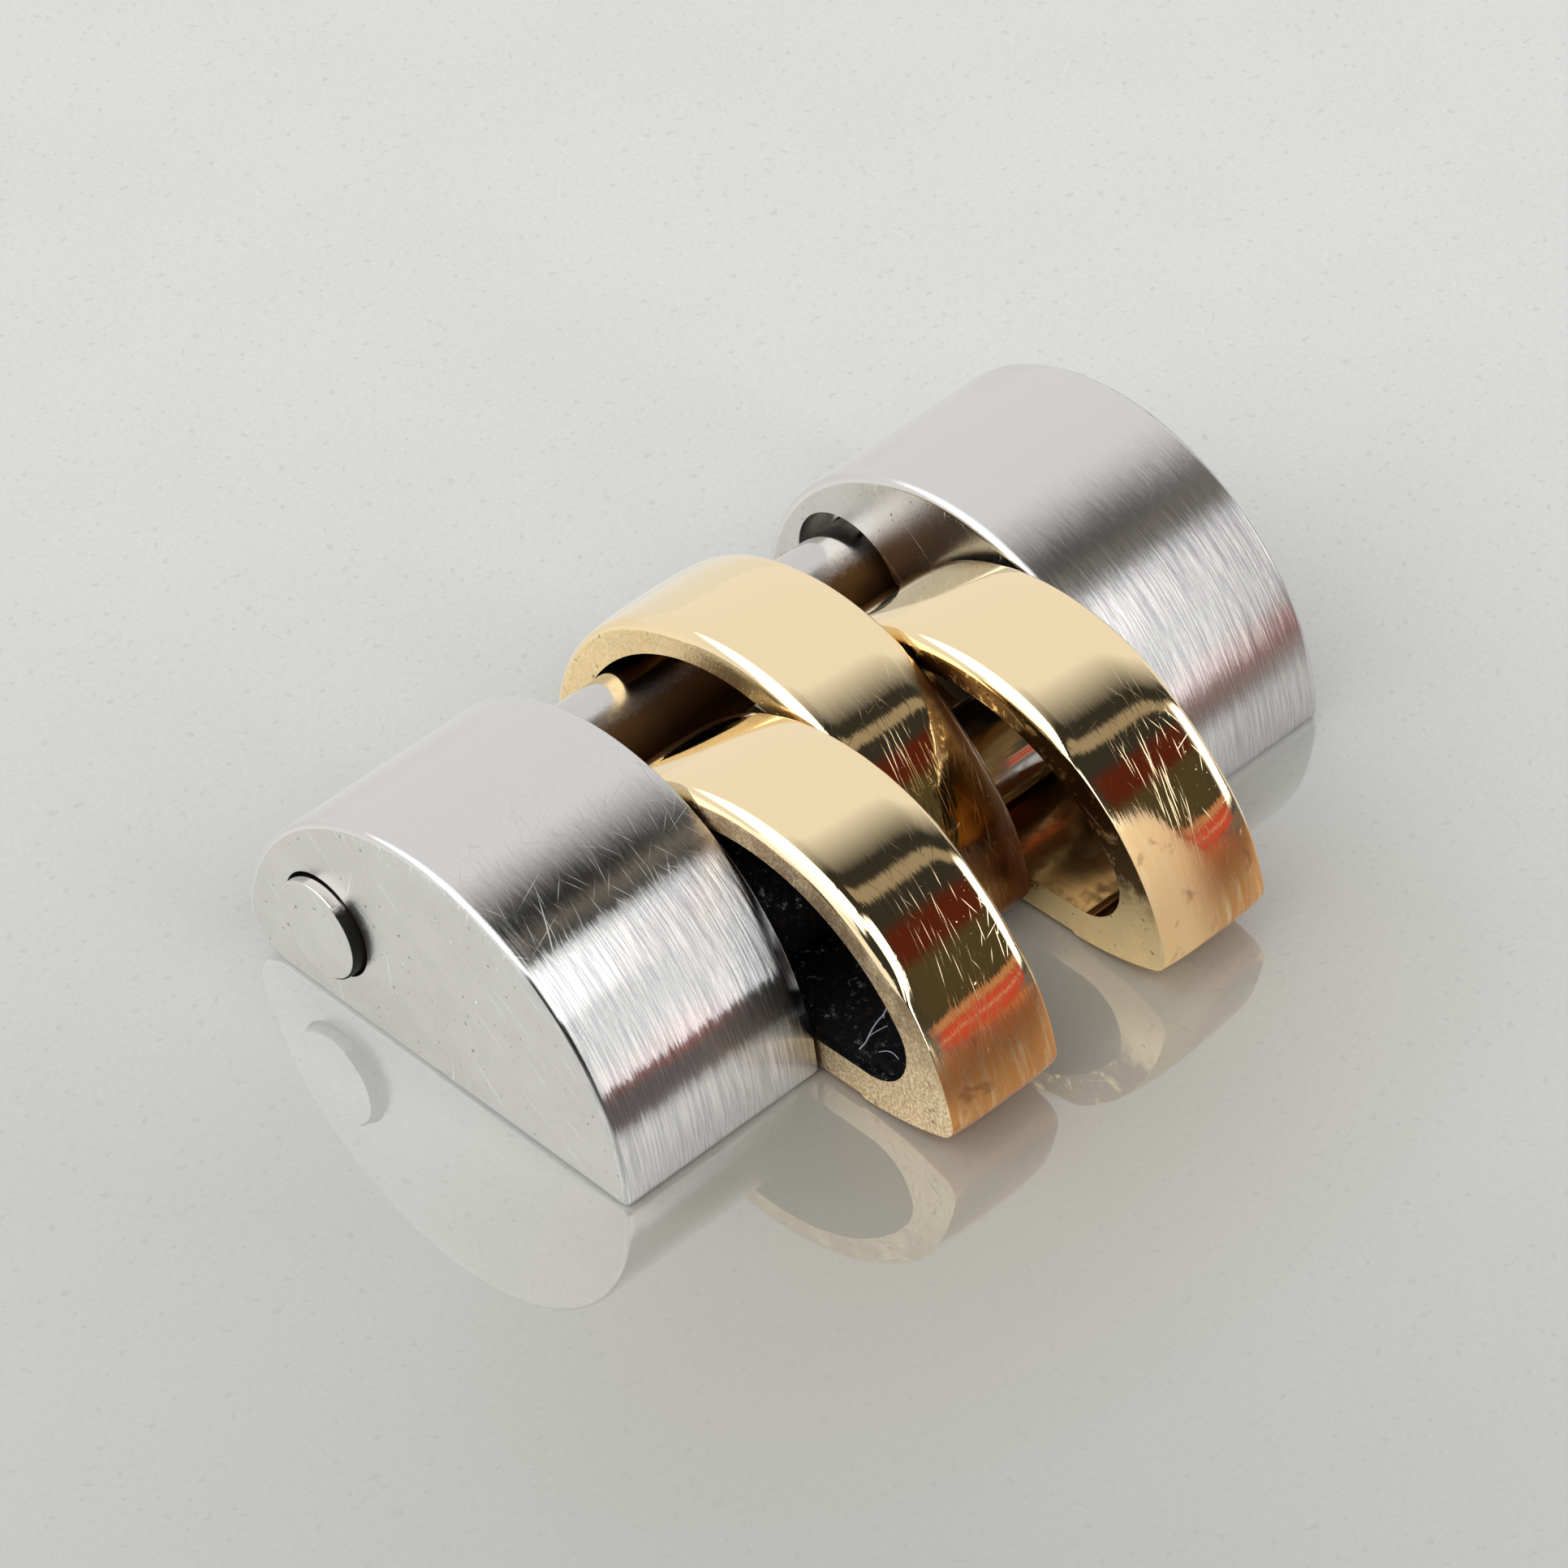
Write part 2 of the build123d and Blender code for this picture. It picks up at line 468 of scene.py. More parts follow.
def scratches(recipe, u, v, turn, spacing, length, width, share, seed):
    """Hair scratches that run along v, turned by an angle: long cells, some of which hold one line."""
    across = u * cos(turn) + v * sin(turn)
    along_line = v * cos(turn) - u * sin(turn)
    row = across / spacing + seed
    row_number = row.math("FLOOR", row)
    offset = recipe.node("TexWhiteNoise", {"noise_dimensions": "1D"}, {"W": row_number})
    column = along_line / length + offset * 7.0
    column_number = column.math("FLOOR", column)
    cell = recipe.join(row_number, column_number, 0.0)
    luck = recipe.node("TexWhiteNoise", {"noise_dimensions": "2D"}, {"Vector": cell}, output=1)
    first, second, third = recipe.split(luck)
    progress = column - column_number
    middle = first * 0.5 + 0.25 + (second - 0.5) * (progress - 0.5) * 0.5
    apart = (row - row_number - middle).math("ABSOLUTE", row - row_number - middle)
    line = apart.below(width / spacing, width / spacing * 0.6)
    ends = progress.above(0.3, 0.28) * progress.below(0.7, 0.28)
    return line * ends * third.ramp_between(1 - share, 1.0)


def most_of(wires):
    """The strongest of several masks at each point."""
    most = wires[0]
    for wire in wires[1:]:
        most = most.math("MAXIMUM", most, wire)
    return most


def leaning(recipe, along_row, round_row):
    """The surface's facing, leaned by one amount along the row and by another round it."""
    facing = recipe.node("NewGeometry", {}, {}, output=1)
    row = recipe.join(along_row, 0.0, 0.0)
    across = recipe.node("VectorMath", {"operation": "CROSS_PRODUCT"}, {0: facing, 1: (1.0, 0.0, 0.0)})
    turned = recipe.node("VectorMath", {"operation": "SCALE"}, {0: across, "Scale": round_row})
    both = recipe.node("VectorMath", {"operation": "ADD"}, {0: row, 1: turned})
    leaned = recipe.node("VectorMath", {"operation": "ADD"}, {0: facing, 1: both})
    return recipe.node("VectorMath", {"operation": "NORMALIZE"}, {0: leaned})


def brushed_dome(name, high_x, fall, turned, roughness, hair):
    """Steel brushed round its curve: each fine groove leans its reflection a little along the row."""
    material = bpy.data.materials.new(name)
    recipe = Recipe(material)
    x, y, z = place(recipe)
    round_dome = way_round(y, z)
    grooves = recipe.join(x * 34.0, round_dome * 0.9, 0.0)
    fine = recipe.noise(grooves, 1.0, 3.0, 0.75)
    combs = recipe.join(x * 20.0, round_dome * 1.8, 4.0)
    ragged = recipe.noise(combs, 1.0, 3.0, 0.75)
    dust = recipe.join(x * 2000.0, round_dome * 2000.0, 0.0)
    blur = recipe.node("TexWhiteNoise", {"noise_dimensions": "2D"}, {"Vector": dust})
    lean = (fine - 0.5) * 0.24 - blur * 0.43 + 0.11 + x.above(high_x - 0.12, 0.12) * fall
    turn = (ragged - 0.5) * 0.11 + turned
    ticks = most_of([
        scratches(recipe, x, round_dome, 0.25, 0.09, 0.8, 0.005, 0.6, 3.0),
        scratches(recipe, x, round_dome, -0.45, 0.12, 0.7, 0.005, 0.55, 11.0),
        scratches(recipe, x, round_dome, 0.8, 0.16, 0.7, 0.005, 0.5, 23.0),
        scratches(recipe, x, round_dome, 1.2, 0.22, 1.2, 0.005, 0.45, 31.0),
        scratches(recipe, x, round_dome, -0.9, 0.18, 0.7, 0.005, 0.45, 47.0),
        scratches(recipe, x, round_dome, 0.06, 0.10, 0.8, 0.005, 0.5, 61.0),
        scratches(recipe, x, round_dome, 0.5, 0.45, 1.8, 0.009, 0.35, 71.0),
    ])
    worn = round_dome.within(0.2, 2.35, 0.5)
    ticks = ticks * (worn * 0.85 + 0.15) * hair
    combed = fine.ramp_between(0.38, 0.62) * round_dome.above(1.9, 0.5)
    steel = recipe.mix(combed, (0.675, 0.66, 0.645), (0.47, 0.47, 0.475))
    # Painted light: the hair scratches are dark on the top of the dome and bright glints lower down.
    hairline_glint_and_shade = recipe.mix(round_dome.above(1.2, 0.3), (0.42, 0.41, 0.40), (0.95, 0.95, 0.95))
    inputs = {
        "Base Color": recipe.mix(ticks * 0.5, steel, hairline_glint_and_shade),
        "Metallic": 1.0,
        "Roughness": ticks * 0.35 + roughness,
        "Normal": leaning(recipe, lean, turn),
    }
    recipe.finish(recipe.node("BsdfPrincipled", {}, inputs))
    return material


def satin_end(name, colour, roughness, grain, burr_glints=0.0, grime_and_shade=0.0, soot_and_shade=(0.28, 0.16, 0.08)):
    """A flat end, ground fine: satin, with a faint grain, hair scratches, small pits and a chipped rim, and
    painted glints and shade.
    """
    material = bpy.data.materials.new(name)
    recipe = Recipe(material)
    x, y, z = place(recipe)
    spot = recipe.join(x, y, z)
    bumps = recipe.noise(spot, 20.0, 3.0, 0.75)
    cloud = recipe.noise(spot, 1.6, 3.0, 0.6)
    pits = recipe.noise(spot, 10.0, 1.0, 0.5).below(0.26, 0.03)
    specks = recipe.noise(spot, 7.0, 1.0, 0.5).above(0.80, 0.01)
    hair = most_of([
        scratches(recipe, y, z, 2.3, 0.45, 1.1, 0.007, 0.5, 5.0),
        scratches(recipe, y, z, 2.1, 0.6, 0.8, 0.006, 0.45, 17.0),
        scratches(recipe, y, z, 0.15, 1.3, 1.1, 0.008, 0.3, 29.0),
    ])
    square = y * y + z * z
    out = square.math("SQRT", square)
    down = z.math("ARCTAN2", y * -1, z)
    ring = recipe.join(down * 70.0, out * 2.0, 2.0)
    chips = recipe.noise(ring, 1.0, 2.0, 0.6).ramp_between(0.56, 0.68)
    # The burrs along the top of the rim are painted white as glints.
    burr_glint = chips * out.within(3.50, link_radius, 0.06) * down.within(-0.40, 0.60, 0.15) * burr_glints
    mark = most_of([hair, specks, burr_glint])
    height = bumps * grain - pits * 2.0 * grain
    bump = recipe.node("Bump", {}, {"Height": height, "Strength": 1.0, "Distance": 0.00001})
    shade = recipe.mix(cloud.ramp_between(0.35, 0.65) * 0.12, colour, (0.35, 0.34, 0.31))
    shade = recipe.mix(bumps.ramp_between(0.35, 0.65) * grain * 0.5, shade, (0.45, 0.30, 0.15))
    # Soot with painted shade darkens the upper part of the end in patches.
    stained_and_shaded = recipe.noise(spot, 3.0, 4.0, 0.7).ramp_between(0.30, 0.60) * z.above(1.6, 0.6) * grime_and_shade
    shade = recipe.mix(stained_and_shaded, shade, soot_and_shade)
    shade = recipe.mix(pits * 0.7, shade, (0.12, 0.10, 0.08))
    inputs = {
        "Base Color": recipe.mix(mark * 0.85, shade, (0.95, 0.95, 0.93)),
        "Metallic": 1.0,
        "Roughness": mark * 0.3 + cloud * 0.06 + roughness,
        "Normal": bump,
    }
    recipe.finish(recipe.node("BsdfPrincipled", {}, inputs))
    return material


def turned_metal(name, colour, shadow, roughness):
    """Metal with fine tool rings round its axis, stained in patches by what has crept in."""
    material = bpy.data.materials.new(name)
    recipe = Recipe(material)
    x, y, z = place(recipe)
    spot = recipe.join(x, y, z)
    rings = recipe.join(x * 28.0, y * 0.6, z * 0.6)
    fine = recipe.noise(rings, 1.0, 3.0, 0.7)
    stain = recipe.noise(spot, 2.2, 4.0, 0.65).ramp_between(0.45, 0.70)
    bump = recipe.node("Bump", {}, {"Height": fine, "Strength": 0.5, "Distance": 0.000002})
    inputs = {
        "Base Color": recipe.mix(stain * 0.7, colour, shadow),
        "Metallic": 1.0,
        "Roughness": fine * 0.06 + stain * 0.15 + roughness,
        "Normal": bump,
    }
    recipe.finish(recipe.node("BsdfPrincipled", {}, inputs))
    return material


steel_end = satin_end("satin_steel_end", (0.59, 0.59, 0.57), 0.24, 0.15, burr_glints=1.0)
steel_bore = turned_metal("steel_bore", (0.45, 0.44, 0.42), (0.05, 0.045, 0.04), 0.25)
blind_hole_depth = 2.45
counterbore_radius = 1.0
counterbore_depth = 1.45
inner_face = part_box("outer_link_far")[0].x * mm
overrun = 1.0

# The near dome is bright and full of hair scratches, and the far one is duller and hardly marked.
brushing = {
    "near": {"fall": 0.10, "turned": 0.0, "roughness": 0.10, "hair": 1.0},
    "far": {"fall": 0.0, "turned": 0.025, "roughness": 0.20, "hair": 0.15},
}


def is_end(corners, face):
    """The flat ends, square to the row."""
    return abs(face.normal.x) > 0.99


def in_bore_or_right_edge(corners, face):
    """The walls of the bores, and the rounded edges that look along the row to the right."""
    if 0.3 < face.normal.x < 0.98:
        return True
    reach = counterbore_radius + 0.01
    for y in (back_pin_y, -back_pin_y):
        if all((c.y - y) ** 2 + (c.z - pin_height) ** 2 < reach**2 for c in corners):
            return True
    return False


for side in (-1, 1):
    name = "near" if side < 0 else "far"
    low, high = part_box("outer_link_" + name)
    low_x = low.x * mm
    high_x = high.x * mm
    link = half_round(link_radius, low_x, high_x)
    round_heel_and_toe(link, link_radius, 0.0, heel_radius, steel_toe_radius)
    outer_x, inner_x = (low_x, high_x) if side < 0 else (high_x, low_x)
    break_edge(link, outer_x, outer_rounding, rounding_rows)
    break_edge(link, inner_x, inner_roundings[name], rounding_rows)
    hole_radius = pin_radius + pin_hole_clearance
    drill(link, round_bar(hole_radius, low_x - overrun, high_x + overrun, back_pin_y, pin_height))
    past_inner = side * (inner_face - overrun)
    blind_end = side * (inner_face + blind_hole_depth)
    drill(link, round_bar(pin_radius, *sorted((past_inner, blind_end)), -back_pin_y, pin_height))
    if side > 0:
        seat = inner_face + counterbore_depth
        drill(link, round_bar(counterbore_radius, past_inner, seat, back_pin_y, pin_height))
    link.data.materials.append(brushed_dome("brushed_steel_" + name, high_x, **brushing[name]))
    paint(link, steel_end, is_end)
    paint(link, steel_bore, in_bore_or_right_edge)
    settle(link, "steel_link_" + name, "rigid_row", "brushed_steel", "outer_link_" + name)


# The three inner links are hollow half-moons of gold-coloured metal with open ends. Their domes are polished
# and slightly crowned, the rims are rounded, and the underside bends up in a nose at the toe.
gold_colour = (0.92, 0.74, 0.46)
gold_toe_radius = 0.30
side_heel_radius = 1.10
side_link_tilt = radians(1.0)
nose_length = 1.82
nose_radius = 4.70
crown_wall = 0.54
hollow_radius = link_radius - crown_wall
floor_wall = 0.52
hollow_corner_radius = 0.75
crown = 0.055
crown_rings = 8
crown_power = 3
rim_rounding = 0.25
rim_rows = 6
merge_within = 0.01
gold_heel_cuts = 16
nose_cuts = 24
gold_toe_cuts = 12


def polished_dome(name, centre_y, centre_z, low_x, high_x, seed, flatter, early_film, film_and_shade_colour, painted_shade_share):
    """Polished gold, scratched lengthwise where it rubs, tarnished to copper brown near the toe, and where
    asked darkened on the right by painted shade.
    """
    material = bpy.data.materials.new(name)
    recipe = Recipe(material)
    x, y, z = place(recipe)
    round_dome = way_round(y, z, centre_y, centre_z)
    share = (x - low_x) / (high_x - low_x)
    spot = recipe.join(x, round_dome, seed)
    worn = round_dome.within(1.5, 4.5, 0.5)
    bundle = share.within(0.26, 0.60, 0.08) * round_dome.within(2.1, 4.3, 0.35)
    strokes = most_of([
        scratches(recipe, x, round_dome, 0.16, 0.06, 1.6, 0.006, 0.95, seed),
        scratches(recipe, x, round_dome, 0.25, 0.08, 1.3, 0.006, 0.9, seed + 7.0),
        scratches(recipe, x, round_dome, 0.07, 0.10, 1.1, 0.005, 0.9, seed + 11.0),
        scratches(recipe, x, round_dome, 0.12, 0.045, 0.9, 0.004, 0.9, seed + 41.0),
    ])
    ticks = most_of([
        scratches(recipe, x, round_dome, 0.20, 0.10, 0.7, 0.006, 0.7, seed + 13.0),
        scratches(recipe, x, round_dome, -0.3, 0.14, 0.6, 0.005, 0.5, seed + 17.0),
        scratches(recipe, x, round_dome, 0.5, 0.13, 0.5, 0.005, 0.5, seed + 19.0),
        scratches(recipe, x, round_dome, 1.25, 0.30, 0.5, 0.005, 0.4, seed + 37.0),
    ])
    flecks = recipe.noise(spot, 30.0, 1.0, 0.5).ramp_between(0.70, 0.80)
    pits = recipe.noise(spot, 7.0, 1.0, 0.5).ramp_between(0.77, 0.80)
    mark = most_of([
        strokes * bundle,
        ticks * (worn * 0.6 + 0.04),
        flecks * worn * 0.5,
        pits * (worn * 0.8 + 0.1),
    ])
    combs = recipe.join(x * 38.0, round_dome * 1.6, seed)
    ragged = recipe.noise(combs, 1.0, 3.0, 0.7)
    turn = (ragged - 0.5) * (worn * 0.05 + 0.006) + round_dome.below(2.3, 0.7) * flatter
    toe = (round_dome + share.below(0.40, 0.20) * early_film + (ragged - 0.5) * 0.8).above(4.15, 0.18)
    streaks = recipe.join(x * 9.0, round_dome * 1.1, seed)
    streaked = recipe.noise(streaks, 1.0, 4.0, 0.65, 0.3)
    film = streaked.ramp_between(0.10, 0.55) * toe
    stain = recipe.noise(spot, 2.1, 3.0, 0.6, 1.0).ramp_between(0.56, 0.72) * toe
    tan = share.below(0.45, 0.25) * early_film * toe
    # Painted shadow darkens the lower right of the centre link's dome, and painted shade its right rim, where
    # the side links crowd it.
    painted_shadow = share.above(0.62, 0.22) * round_dome.above(3.0, 0.45) * painted_shade_share
    painted_rim_shade = share.above(0.84, 0.06) * round_dome.above(1.7, 0.3) * painted_shade_share
    colour = recipe.mix(film * 0.85, gold_colour, recipe.mix(tan, film_and_shade_colour, (0.92, 0.68, 0.36)))
    colour = recipe.mix(most_of([painted_shadow, painted_rim_shade]) * 0.9, colour, (0.10, 0.03, 0.008))
    colour = recipe.mix(stain * 0.5, colour, (0.28, 0.10, 0.05))
    colour = recipe.mix(mark * 0.7, colour, (1.0, 0.70, 0.40))
    leaned = leaning(recipe, mark * 0.2, turn)
    bump = recipe.node("Bump", {}, {"Height": mark, "Strength": 0.2, "Distance": 0.000003, "Normal": leaned})
    inputs = {
        "Base Color": colour,
        "Metallic": 1.0,
        "Roughness": mark * 0.20 + film * 0.20 + toe * 0.06 + tan * 0.30 + painted_rim_shade * 0.25 + 0.055,
        "Normal": bump,
    }
    recipe.finish(recipe.node("BsdfPrincipled", {}, inputs))
    return material


# The side links' gold ends carry soot and painted shade on their upper part, the far one's darkest.
dark_soot_and_shade = (0.13, 0.07, 0.02)
gold_end = satin_end("satin_gold_end", (1.0, 0.78, 0.42), 0.30, 0.7)
shaded_grimy_gold_end = satin_end("shaded_grimy_gold_end", (1.0, 0.82, 0.52), 0.32, 1.6, grime_and_shade=0.7)
shaded_rubbed_gold_end = satin_end("shaded_rubbed_gold_end", (0.98, 0.76, 0.40), 0.20, 0.3, grime_and_shade=2.0, soot_and_shade=dark_soot_and_shade)
# The hollows are polished gold given a dark colour, which is painted shade for their dim inside.
shaded_polished_hollow = turned_metal("shaded_polished_hollow", (0.50, 0.30, 0.11), (0.10, 0.05, 0.02), 0.10)


def caked_dirt():
    """Dry black dirt with ash-grey crumbs and a few brown patches."""
    material = bpy.data.materials.new("caked_dirt")
    recipe = Recipe(material)
    spot = recipe.join(*place(recipe))
    crumbs = recipe.noise(spot, 7.0, 5.0, 0.8)
    clusters = recipe.noise(spot, 2.4, 2.0, 0.5).ramp_between(0.45, 0.62)
    ash = crumbs.ramp_between(0.56, 0.66) * (clusters * 0.9 + 0.08)
    rust = recipe.noise(spot, 4.0, 2.0, 0.6).ramp_between(0.60, 0.75)
    colour = recipe.mix(rust * 0.5, (0.004, 0.004, 0.005), (0.05, 0.025, 0.008))
    bump = recipe.node("Bump", {}, {"Height": crumbs, "Strength": 1.0, "Distance": 0.00004})
    inputs = {
        "Base Color": recipe.mix(ash, colour, (0.27, 0.28, 0.30)),
        "Roughness": 0.85,
        "Specular IOR Level": 0.12,
        "Normal": bump,
    }
    recipe.finish(recipe.node("BsdfPrincipled", {}, inputs))
    return material


dirt = caked_dirt()


def shave_nose(piece, toe):
    """Bends the underside up towards the toe, and rounds the toe between the nose and the dome."""
    nose_y = nose_length - link_radius
    away = sqrt(nose_y**2 + nose_radius**2)
    reach = link_radius - toe
    nose_reach = nose_radius - toe
    along_line = (reach**2 - nose_reach**2 + away**2) / (2 * away)
    beside_line = sqrt(reach**2 - along_line**2)
    toe_y = (along_line * nose_y - beside_line * nose_radius) / away
    toe_z = (along_line * nose_radius + beside_line * nose_y) / away
    nose_end = atan2(toe_z - nose_radius, toe_y - nose_y)
    shave_corner(piece, nose_y, nose_radius, nose_radius, -pi / 2, nose_end, nose_cuts)
    shave_corner(piece, toe_y, toe_z, toe, nose_end, atan2(toe_z, toe_y) - 2 * pi, gold_toe_cuts)


def crown_dome(piece, half):
    """Draws each ring of the dome in, the more the nearer it is to an end face. Room is left for the rims."""
    rings = [ring for ring in range(-crown_rings, crown_rings + 1) if abs(ring) != crown_rings - 1]
    for ring in rings[1:-1]:
        cut(piece, (half * ring / crown_rings, 0, 0), (1, 0, 0), keep_both=True)
    for ring in rings:
        x = half * ring / crown_rings
        share = 1 - crown / link_radius * abs(ring / crown_rings) ** crown_power
        pick(piece, "VERT", lambda corner: abs(corner.x - x) < hair_breadth)
        bpy.ops.transform.resize(value=(1, share, share), center_override=(x, 0, 0))
        bpy.ops.object.mode_set(mode="OBJECT")


def worn_share(angle, first, last, low, high):
    """Goes evenly from the low to the high share between two angles, with soft ends."""
    step = min(max((angle - first) / (last - first), 0.0), 1.0)
    return low + (high - low) * step * step * (3 - 2 * step)


def round_rims(piece, half, worn_to):
    """Rounds the edges round both ends, the near one most. Angles are degrees down from the dome's top."""
    pick(piece, "VERT", lambda corner: True)
    bpy.ops.mesh.remove_doubles(threshold=merge_within)
    bpy.ops.object.mode_set(mode="OBJECT")
    weights = piece.data.attributes.new("bevel_weight_edge", "FLOAT", "EDGE")
    for edge in piece.data.edges:
        ends = [piece.data.vertices[i].co for i in edge.vertices]
        middle = (ends[0] + ends[1]) / 2
        down = degrees(atan2(-middle.y, middle.z))
        if all(abs(end.x + half) < hair_breadth for end in ends):
            lost = worn_share(down, worn_to, worn_to + 9.0, 0.0, 0.87)
            weights.data[edge.index].value = worn_share(down, -45.0, -15.0, 0.4, 0.9) - lost
        elif all(abs(end.x - half) < hair_breadth for end in ends):
            lost = worn_share(down, 50.0, 65.0, 0.0, 0.4)
            weights.data[edge.index].value = worn_share(down, 20.0, 40.0, 0.3, 0.7) - lost
    rims = piece.modifiers.new("rims", "BEVEL")
    rims.limit_method = "WEIGHT"
    rims.use_clamp_overlap = False
    rims.width = rim_rounding
    rims.segments = rim_rows
    bpy.context.view_layer.objects.active = piece
    bpy.ops.object.modifier_apply(modifier=rims.name)


def in_hollow(corners, face):
    """The walls of an inner link's hollow."""
    slack = 0.05
    under = hollow_radius + slack
    inside = all(sqrt(c.y**2 + c.z**2) < under and c.z > floor_wall - slack for c in corners)
    return inside and abs(face.normal.x) < 0.9


# What sets the three links apart: the heel, how far down the near rim is worn round, what shows on the ends
# and in the hollow, how the dome has worn and tarnished, and where painted shade darkens it.
gold_links = {
    "centre_link": {
        "body": "rigid_row",
        "heel": heel_radius,
        "worn_to": 43.0,
        "ends": gold_end,
        "inside": shaded_polished_hollow,
        "wear": {
            "seed": 18.7,
            "flatter": 0.09,
            "early_film": 0.0,
            # The centre link's dark film is partly painted shade from the side links.
            "film_and_shade_colour": (0.22, 0.08, 0.02),
            "painted_shade_share": 1.0,
        },
    },
    "side_link_near": {
        "body": "near_hook",
        "heel": side_heel_radius,
        "worn_to": 43.0,
        "ends": shaded_grimy_gold_end,
        "inside": dirt,
        "wear": {
            "seed": 23.8,
            "flatter": 0.0,
            "early_film": 0.0,
            "film_and_shade_colour": (0.60, 0.22, 0.035),
            "painted_shade_share": 0.0,
        },
    },
    "side_link_far": {
        "body": "far_hook",
        "heel": side_heel_radius,
        "worn_to": 24.0,
        "ends": shaded_rubbed_gold_end,
        "inside": shaded_polished_hollow,
        "wear": {
            "seed": 22.1,
            "flatter": 0.06,
            "early_film": 1.0,
            "film_and_shade_colour": (0.62, 0.25, 0.05),
            "painted_shade_share": 0.0,
        },
    },
}
for name, facts in gold_links.items():
    low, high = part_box(name)
    half = (high.x - low.x) * mm / 2
    body = facts["body"]
    link = half_round(link_radius, -half, half)
    round_heel(link, link_radius, 0.0, facts["heel"], gold_heel_cuts)
    shave_nose(link, gold_toe_radius)
    crown_dome(link, half)
    round_rims(link, half, facts["worn_to"])
    hollow = half_round(hollow_radius, -half - overrun, half + overrun, floor_wall)
    round_heel_and_toe(hollow, hollow_radius, floor_wall, hollow_corner_radius, hollow_corner_radius)
    drill(link, hollow)
    toe_y = min(corner.co.y for corner in link.data.vertices)
    centre = (low.y * mm - toe_y, high.z * mm - link_radius)
    span = (low.x * mm, high.x * mm)
    link.data.materials.append(polished_dome("polished_" + name, *centre, *span, **facts["wear"]))
    paint(link, facts["ends"], is_end)
    paint(link, facts["inside"], in_hollow)
    if body != "rigid_row":
        link.rotation_euler.x = -side_link_tilt
        bpy.ops.object.transform_apply(rotation=True)
    corners = [corner.co for corner in link.data.vertices]
    link.location = (
        (low.x + high.x) * mm / 2,
        low.y * mm - min(corner.y for corner in corners),
        high.z * mm - max(corner.z for corner in corners),
    )
    if name == "side_link_near":
        near_link_place = link.location.copy()
    settle(link, "gold_" + name, body, "gold", name)


# Dirt has caked in the front of the near side link's hollow. It is a lumpy bed on the floor wall, highest in
# the corner at the toe, and it stays clear of the pin. A few lint fibres are stuck on it.
dirt_inset = 0.08
dirt_back_y = -0.42
dirt_back_height = 0.05
dirt_toe_height = 0.34
dirt_grain = 0.035
dirt_lumps = ((0.35, 0.10), (0.09, 0.06))
dirt_lump_middle = 0.62
low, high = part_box("side_link_near")
half = (high.x - low.x) * mm / 2 - dirt_inset
bed = half_round(hollow_radius, -half, half, floor_wall)
round_heel_and_toe(bed, hollow_radius, floor_wall, hollow_corner_radius, hollow_corner_radius)
cut(bed, (0, dirt_back_y, 0), (0, 1, 0))
rise = (dirt_toe_height - dirt_back_height) / (hollow_radius + dirt_back_y)
cut(bed, (0, dirt_back_y, floor_wall + dirt_back_height), (0, rise, 1))
evened = bed.modifiers.new("evened", "REMESH")
evened.mode = "VOXEL"
evened.voxel_size = dirt_grain
bpy.ops.object.modifier_apply(modifier=evened.name)
for size, strength in dirt_lumps:
    lumps = bpy.data.textures.new("dirt_lumps", "CLOUDS")
    lumps.noise_scale = size
    heaped = bed.modifiers.new("heaped", "DISPLACE")
    heaped.texture = lumps
    heaped.strength = strength
    heaped.mid_level = dirt_lump_middle
    heaped.texture_coords = "LOCAL"
    bpy.ops.object.modifier_apply(modifier=heaped.name)
bed.data.materials.clear()
bed.data.materials.append(dirt)
bed.rotation_euler.x = -side_link_tilt
bpy.ops.object.transform_apply(rotation=True)
bed.location = near_link_place
settle(bed, "caked_dirt", "near_hook", None)

lint_material = bpy.data.materials.new("lint")
recipe = Recipe(lint_material)
spot = recipe.join(*place(recipe))
fuzz = recipe.noise(spot, 20.0, 2.0)
lint_colour = recipe.mix(fuzz, (0.38, 0.40, 0.46), (0.62, 0.64, 0.70))
recipe.finish(recipe.node("BsdfPrincipled", {}, {"Base Color": lint_colour, "Roughness": 0.7}))
lint_height = 0.83
lint_merge_within = 0.0003

# Each fibre's thickness and the route that it lies along.
fibres = (
    (0.010, ((-2.05, -4.00), (-2.27, -4.15), (-2.50, -4.19), (-2.74, -4.30), (-2.84, -4.36), (-2.98, -4.38))),
    (0.007, ((-2.10, -4.12), (-2.24, -4.09), (-2.36, -4.20))),
    (0.006, ((-2.43, -4.34), (-2.60, -4.30), (-2.77, -4.31))),
    (0.006, ((-2.85, -4.60), (-2.74, -4.66), (-2.74, -4.80), (-2.78, -4.92))),
)
for number, (thickness, route) in enumerate(fibres):
    bpy.ops.object.select_all(action="DESELECT")
    bpy.ops.curve.primitive_nurbs_path_add()
    fibre = bpy.context.object
    line = fibre.data.splines[0]
    spare = len(line.points) - len(route)
    if spare < 0:
        line.points.add(-spare)
    # The points that a short route leaves over lie on its end.
    for point, (along_x, along_y) in zip(line.points, route + route[-1:] * spare):
        point.co = (along_x, along_y, lint_height, 1.0)
    line.order_u = 3
    line.use_endpoint_u = True
    fibre.data.bevel_depth = thickness
    fibre.data.bevel_resolution = 2
    fibre.data.use_fill_caps = True
    bpy.ops.object.convert(target="MESH")
    pick(fibre, "VERT", lambda corner: True)
    bpy.ops.mesh.remove_doubles(threshold=lint_merge_within)
    bpy.ops.object.mode_set(mode="OBJECT")
    fibre.data.materials.clear()
    fibre.data.materials.append(lint_material)
    settle(fibre, f"lint_{number + 1}", "near_hook", None)


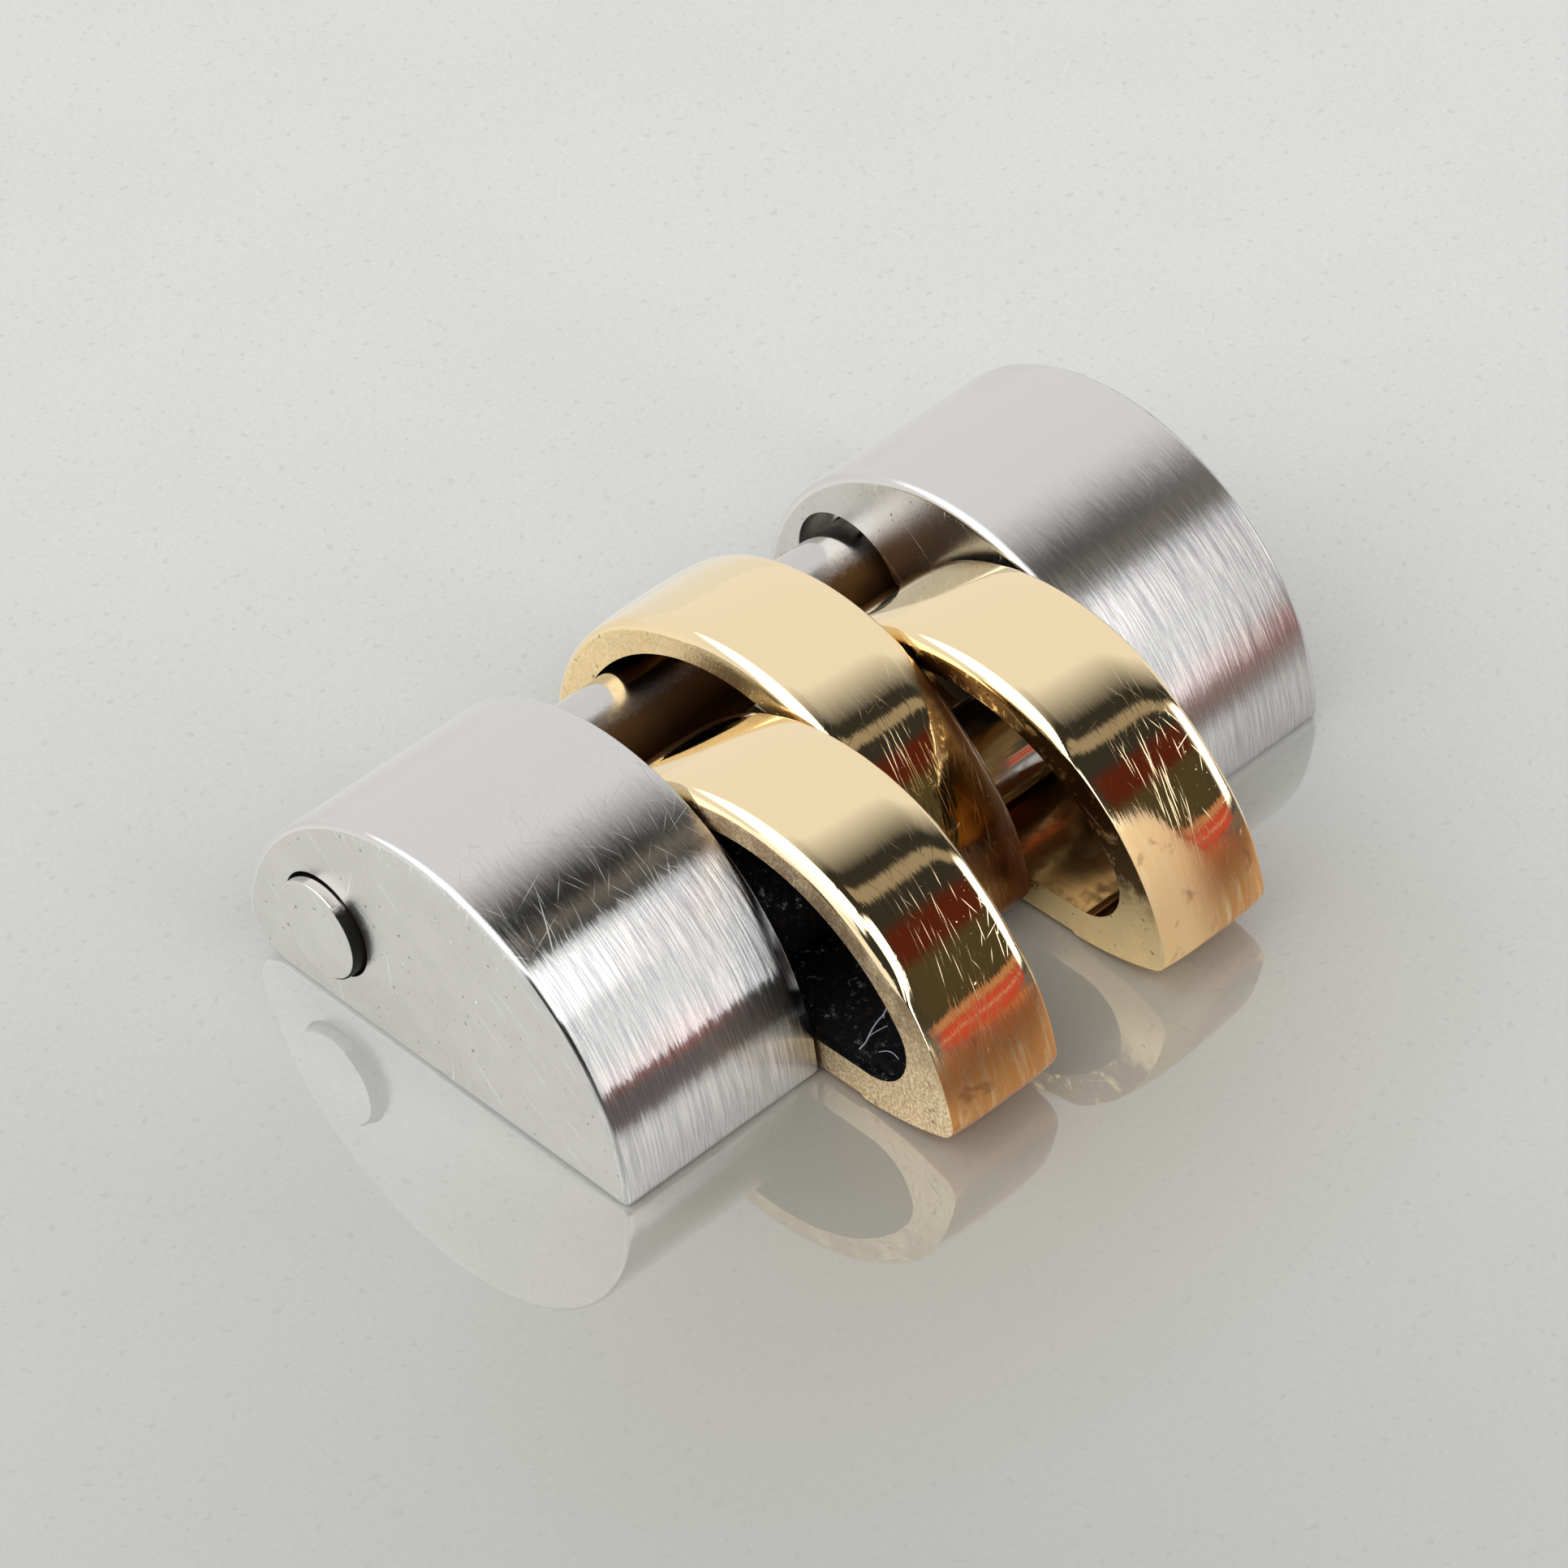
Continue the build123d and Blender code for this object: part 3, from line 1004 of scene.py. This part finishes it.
# The two pins are turned from hard wire. The removable one has a rounded head and a lead-in at its tip,
# and the fixed one sits in blind holes of both outer links. A split collar grips the removable pin.
pin_steel = turned_metal("pin_steel", (0.62, 0.61, 0.59), (0.30, 0.28, 0.26), 0.07)
pin_stands_proud = 0.18
head_rounding = 0.03
tip_bevel = 0.22
fixed_pin_chamfer = 0.12


def grimy_shaded_steel(name, first_angle, softness, grime_and_shade, bareness):
    """The pin where it shows: bare steel on top, and grime with painted shade from an angle on towards the
    front.
    """
    material = bpy.data.materials.new(name)
    recipe = Recipe(material)
    x, y, z = place(recipe)
    spot = recipe.join(x, y, z)
    round_pin = (z - pin_height).math("ARCTAN2", back_pin_y - y, z - pin_height)
    crumbs = recipe.noise(spot, 14.0, 3.0, 0.7)
    packed_and_shaded = (round_pin + crumbs * 0.3).within(first_angle, 2.9, softness)
    inputs = {
        "Base Color": recipe.mix(packed_and_shaded, (0.62, 0.60, 0.58), grime_and_shade),
        "Metallic": 1 - packed_and_shaded * (1 - bareness),
        "Roughness": packed_and_shaded * 0.4 + 0.12,
        "Specular IOR Level": 0.2,
    }
    recipe.finish(recipe.node("BsdfPrincipled", {}, inputs))
    return material


for name, body, head, tip in (
    ("removable_pin", "push_pin", head_rounding, tip_bevel),
    ("fixed_pin", "rigid_row", fixed_pin_chamfer, fixed_pin_chamfer),
):
    low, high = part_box(name)
    pin = round_bar(pin_radius, low.x * mm, high.x * mm, (low.y + high.y) * mm / 2, pin_height)
    break_edge(pin, low.x * mm, head, rounding_rows)
    break_edge(pin, high.x * mm, tip, 1)
    if name == "removable_pin":
        # Grime and painted shade: the pin turns brown towards the front, and the proud wall of its head near
        # black.
        pin.data.materials.append(grimy_shaded_steel("stained_shaded_pin", 0.55, 0.30, (0.11, 0.055, 0.022), 1.0))
        edge_x = low.x * mm + pin_stands_proud
        cut(pin, (edge_x, 0, 0), (1, 0, 0), keep_both=True)
        head_steel = grimy_shaded_steel("shaded_grimy_head", 0.75, 0.12, (0.008, 0.008, 0.007), 0.0)
        paint(pin, head_steel, lambda corners, face: all(c.x < edge_x + hair_breadth for c in corners))
        paint(pin, steel_end, is_end)
    else:
        pin.data.materials.append(pin_steel)
        soiled = (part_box("side_link_near")[0].x * mm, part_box("side_link_near")[1].x * mm)
        for x in soiled:
            cut(pin, (x, 0, 0), (1, 0, 0), keep_both=True)
        first_x = soiled[0] - hair_breadth
        last_x = soiled[1] + hair_breadth
        paint(pin, dirt, lambda corners, face: all(first_x < c.x < last_x for c in corners))
    settle(pin, "turned_" + name, body, "pin_steel", name)
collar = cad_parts["pin_collar"]
collar.data.materials.clear()
collar.data.materials.append(pin_steel)
